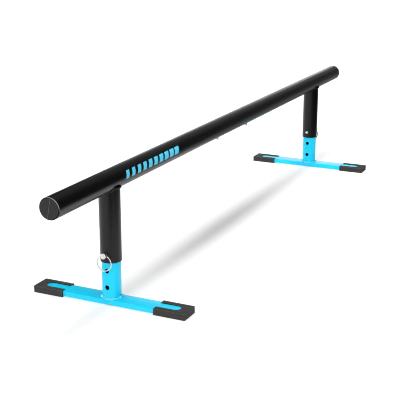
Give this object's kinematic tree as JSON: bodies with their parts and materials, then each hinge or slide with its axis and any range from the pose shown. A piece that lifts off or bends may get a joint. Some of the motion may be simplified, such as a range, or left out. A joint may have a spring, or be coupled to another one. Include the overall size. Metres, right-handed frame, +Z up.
{
  "type": "skateboard grind rail",
  "caption": "Round steel grind rail in joined halves on T-shaped stands that slide in leg sleeves, held by pull-ring locking pins, with rubber foot pads.",
  "frame": {"origin": "on the ground, under the middle of the rail", "axes": "+X along the rail towards its far end, +Y along the foot bars towards the left pads, +Z up"},
  "size_m": [1.9, 0.411, 0.3269],
  "materials": {
    "black_paint": "semi-gloss black powder coat",
    "cyan_paint": "semi-gloss light blue powder coat",
    "black_plastic": "satin moulded plastic",
    "rubber": "matt moulded rubber",
    "polished_steel": "bright nickel-plated steel",
    "spring_steel": "bare steel",
    "yellow_zinc": "yellow zinc plating"
  },
  "bodies": {
    "rail": {"joiner_tube": "spring_steel", "rail_tube_far": "black_paint", "rail_tube_near": "black_paint", "end_cap_far": "black_plastic", "end_cap_near": "black_plastic", "button_spring_far": "spring_steel", "button_spring_near": "spring_steel", "leg_sleeve_far": "black_paint", "leg_sleeve_near": "black_paint", "saddle_weld_far": "black_paint", "saddle_weld_near": "black_paint"},
    "button_far": {"snap_button_far": "yellow_zinc"},
    "button_near": {"snap_button_near": "yellow_zinc"},
    "stand_far": {"leg_post_far": "cyan_paint", "post_weld_far": "cyan_paint", "foot_bar_far": "cyan_paint", "foot_pad_far_left": "rubber", "foot_pad_far_right": "rubber"},
    "stand_near": {"leg_post_near": "cyan_paint", "post_weld_near": "cyan_paint", "foot_bar_near": "cyan_paint", "foot_pad_near_left": "rubber", "foot_pad_near_right": "rubber"},
    "pin_far": {"lock_pin_far": "polished_steel", "detent_spring_far": "spring_steel"},
    "pin_near": {"lock_pin_near": "polished_steel", "detent_spring_near": "spring_steel"},
    "ball_far": {"detent_ball_far": "polished_steel"},
    "ball_near": {"detent_ball_near": "polished_steel"},
    "ring_far": {"pull_ring_far": "polished_steel"},
    "ring_near": {"pull_ring_near": "polished_steel"}
  },
  "joints": [
    {"name": "stand_height_far", "type": "slide", "parent": "rail", "child": "stand_far", "axis": [0, 0, 1], "range_m": [-0.0004, 0]},
    {"name": "stand_height_near", "type": "slide", "parent": "rail", "child": "stand_near", "axis": [0, 0, 1], "range_m": [-0.0004, 0]},
    {"name": "pin_pull_far", "type": "slide", "parent": "rail", "child": "pin_far", "axis": [1, 0, 0], "range_m": [0, 0.06]},
    {"name": "pin_pull_near", "type": "slide", "parent": "rail", "child": "pin_near", "axis": [-1, 0, 0], "range_m": [0, 0.06]},
    {"name": "ring_swing_far", "type": "hinge", "parent": "pin_far", "child": "ring_far", "pos_m": [0.7365, 0, 0.1276], "axis": [0, -1, 0], "range_deg": [-10, 185]},
    {"name": "ring_swing_near", "type": "hinge", "parent": "pin_near", "child": "ring_near", "pos_m": [-0.7365, 0, 0.1276], "axis": [0, 1, 0], "range_deg": [-10, 185]},
    {"name": "ball_press_far", "type": "slide", "parent": "pin_far", "child": "ball_far", "axis": [0, 1, 0], "range_m": [0, 0.0006], "stiffness_N_per_m": 1000, "springref_m": -0.0005, "deforming": ["detent_spring_far"]},
    {"name": "ball_press_near", "type": "slide", "parent": "pin_near", "child": "ball_near", "axis": [0, -1, 0], "range_m": [0, 0.0006], "stiffness_N_per_m": 1000, "springref_m": -0.0005, "deforming": ["detent_spring_near"]},
    {"name": "button_press_far", "type": "slide", "parent": "rail", "child": "button_far", "axis": [0, 0, 1], "range_m": [0, 0.0097], "stiffness_N_per_m": 1500, "springref_m": -0.003, "deforming": ["button_spring_far"]},
    {"name": "button_press_near", "type": "slide", "parent": "rail", "child": "button_near", "axis": [0, 0, 1], "range_m": [0, 0.0097], "stiffness_N_per_m": 1500, "springref_m": -0.003, "deforming": ["button_spring_near"]}
  ]
}
